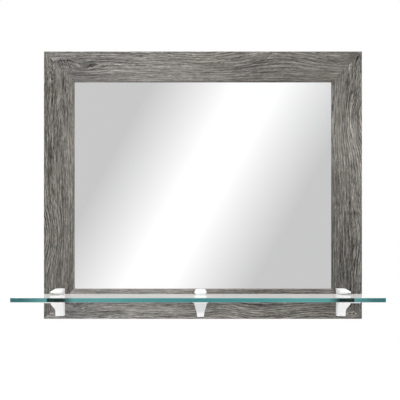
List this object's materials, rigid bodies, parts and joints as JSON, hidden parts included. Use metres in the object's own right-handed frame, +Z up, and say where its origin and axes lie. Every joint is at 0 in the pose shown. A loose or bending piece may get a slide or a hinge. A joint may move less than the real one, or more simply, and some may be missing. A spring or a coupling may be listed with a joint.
{
  "type": "mirror with shelf",
  "caption": "Wall mirror in a flat, mitred, weathered wood frame, with a clear glass shelf across its foot held in white clamp brackets.",
  "frame": {"origin": "on the wall, midway between the two wall hooks that the hanger rings hang on", "axes": "+X right seen from the front, +Y into the wall (the front faces -Y), +Z up"},
  "size_m": [0.6766, 0.165, 0.5446],
  "materials": {
    "weathered_wood": "grey weathered oak, open grain, matt",
    "mirror": "plain silvered glass, no bevel",
    "cardboard": "corrugated, uncoated",
    "hardboard": "brown hardboard, smooth face out",
    "zinc_plated_steel": "zinc plated, satin",
    "clear_rubber": "translucent, smooth",
    "black_rubber": "matt",
    "shelf_glass": "clear float glass with a green edge, polished",
    "white_enamel": "white enamel, half gloss"
  },
  "bodies": {
    "frame": {"top_rail": "weathered_wood", "bottom_rail": "weathered_wood", "left_stile": "weathered_wood", "right_stile": "weathered_wood", "corner_v_nails": "zinc_plated_steel", "mirror_pane": "mirror", "cushion_sheet": "cardboard", "backing_board": "hardboard", "turn_button_screws": "zinc_plated_steel", "hanger_strap_left": "zinc_plated_steel", "hanger_strap_right": "zinc_plated_steel", "hanger_screws": "zinc_plated_steel", "wall_bumpers": "clear_rubber", "bracket_fixing_screws": "zinc_plated_steel", "bracket_body_left": "white_enamel", "lower_pad_left": "black_rubber", "bracket_body_centre": "white_enamel", "lower_pad_centre": "clear_rubber", "bracket_body_right": "white_enamel", "lower_pad_right": "black_rubber"},
    "turn_button_top_left": {"turn_button_top_left": "zinc_plated_steel"},
    "turn_button_top_right": {"turn_button_top_right": "zinc_plated_steel"},
    "turn_button_bottom_left": {"turn_button_bottom_left": "zinc_plated_steel"},
    "turn_button_bottom_right": {"turn_button_bottom_right": "zinc_plated_steel"},
    "turn_button_left": {"turn_button_left": "zinc_plated_steel"},
    "turn_button_right": {"turn_button_right": "zinc_plated_steel"},
    "hanger_ring_left": {"hanger_ring_left": "zinc_plated_steel"},
    "hanger_ring_right": {"hanger_ring_right": "zinc_plated_steel"},
    "shelf": {"glass_shelf": "shelf_glass"},
    "clamp_screw_left": {"clamp_screw_left": "zinc_plated_steel", "retaining_ring_left": "zinc_plated_steel"},
    "upper_jaw_left": {"upper_jaw_left": "white_enamel", "upper_pad_left": "clear_rubber"},
    "clamp_screw_centre": {"clamp_screw_centre": "zinc_plated_steel", "retaining_ring_centre": "zinc_plated_steel"},
    "upper_jaw_centre": {"upper_jaw_centre": "white_enamel", "upper_pad_centre": "clear_rubber"},
    "clamp_screw_right": {"clamp_screw_right": "zinc_plated_steel", "retaining_ring_right": "zinc_plated_steel"},
    "upper_jaw_right": {"upper_jaw_right": "white_enamel", "upper_pad_right": "clear_rubber"}
  },
  "joints": [
    {"name": "turn_button_top_left_turn", "type": "hinge", "parent": "frame", "child": "turn_button_top_left", "pos_m": [-0.15, -0.005, 0.08135], "axis": [0, 1, 0], "continuous": true},
    {"name": "turn_button_top_right_turn", "type": "hinge", "parent": "frame", "child": "turn_button_top_right", "pos_m": [0.15, -0.005, 0.08135], "axis": [0, 1, 0], "continuous": true},
    {"name": "turn_button_bottom_left_turn", "type": "hinge", "parent": "frame", "child": "turn_button_bottom_left", "pos_m": [-0.15, -0.005, -0.36595], "axis": [0, 1, 0], "continuous": true},
    {"name": "turn_button_bottom_right_turn", "type": "hinge", "parent": "frame", "child": "turn_button_bottom_right", "pos_m": [0.15, -0.005, -0.36595], "axis": [0, 1, 0], "continuous": true},
    {"name": "turn_button_left_turn", "type": "hinge", "parent": "frame", "child": "turn_button_left", "pos_m": [-0.2752, -0.005, -0.1423], "axis": [0, 1, 0], "continuous": true},
    {"name": "turn_button_right_turn", "type": "hinge", "parent": "frame", "child": "turn_button_right", "pos_m": [0.2752, -0.005, -0.1423], "axis": [0, 1, 0], "continuous": true},
    {"name": "hanger_ring_left_swing", "type": "hinge", "parent": "frame", "child": "hanger_ring_left", "pos_m": [-0.29385, -0.00282, -0.0127], "axis": [-1, 0, 0], "range_deg": [0, 175]},
    {"name": "hanger_ring_right_swing", "type": "hinge", "parent": "frame", "child": "hanger_ring_right", "pos_m": [0.29385, -0.00282, -0.0127], "axis": [-1, 0, 0], "range_deg": [0, 175]},
    {"name": "shelf_slide", "type": "slide", "parent": "frame", "child": "shelf", "axis": [0, -1, 0], "range_m": [0, 0.056]},
    {"name": "clamp_screw_left_turn", "type": "hinge", "parent": "frame", "child": "clamp_screw_left", "pos_m": [-0.2881, -0.0325, -0.4007], "axis": [0, 0, -1], "range_deg": [0, 5041]},
    {"name": "upper_jaw_left_lift", "type": "slide", "parent": "frame", "child": "upper_jaw_left", "axis": [0, 0, 1], "range_m": [0, 0.0098]},
    {"name": "clamp_screw_centre_turn", "type": "hinge", "parent": "frame", "child": "clamp_screw_centre", "pos_m": [-0.005, -0.0325, -0.4007], "axis": [0, 0, -1], "range_deg": [0, 5041]},
    {"name": "upper_jaw_centre_lift", "type": "slide", "parent": "frame", "child": "upper_jaw_centre", "axis": [0, 0, 1], "range_m": [0, 0.0098]},
    {"name": "clamp_screw_right_turn", "type": "hinge", "parent": "frame", "child": "clamp_screw_right", "pos_m": [0.2781, -0.0325, -0.4007], "axis": [0, 0, -1], "range_deg": [0, 5041]},
    {"name": "upper_jaw_right_lift", "type": "slide", "parent": "frame", "child": "upper_jaw_right", "axis": [0, 0, 1], "range_m": [0, 0.0098]}
  ],
  "couplings": [
    {"joint": "clamp_screw_left_turn", "follows": "upper_jaw_left_lift", "rad_per_m": 8976},
    {"joint": "clamp_screw_centre_turn", "follows": "upper_jaw_centre_lift", "rad_per_m": 8976},
    {"joint": "clamp_screw_right_turn", "follows": "upper_jaw_right_lift", "rad_per_m": 8976}
  ]
}
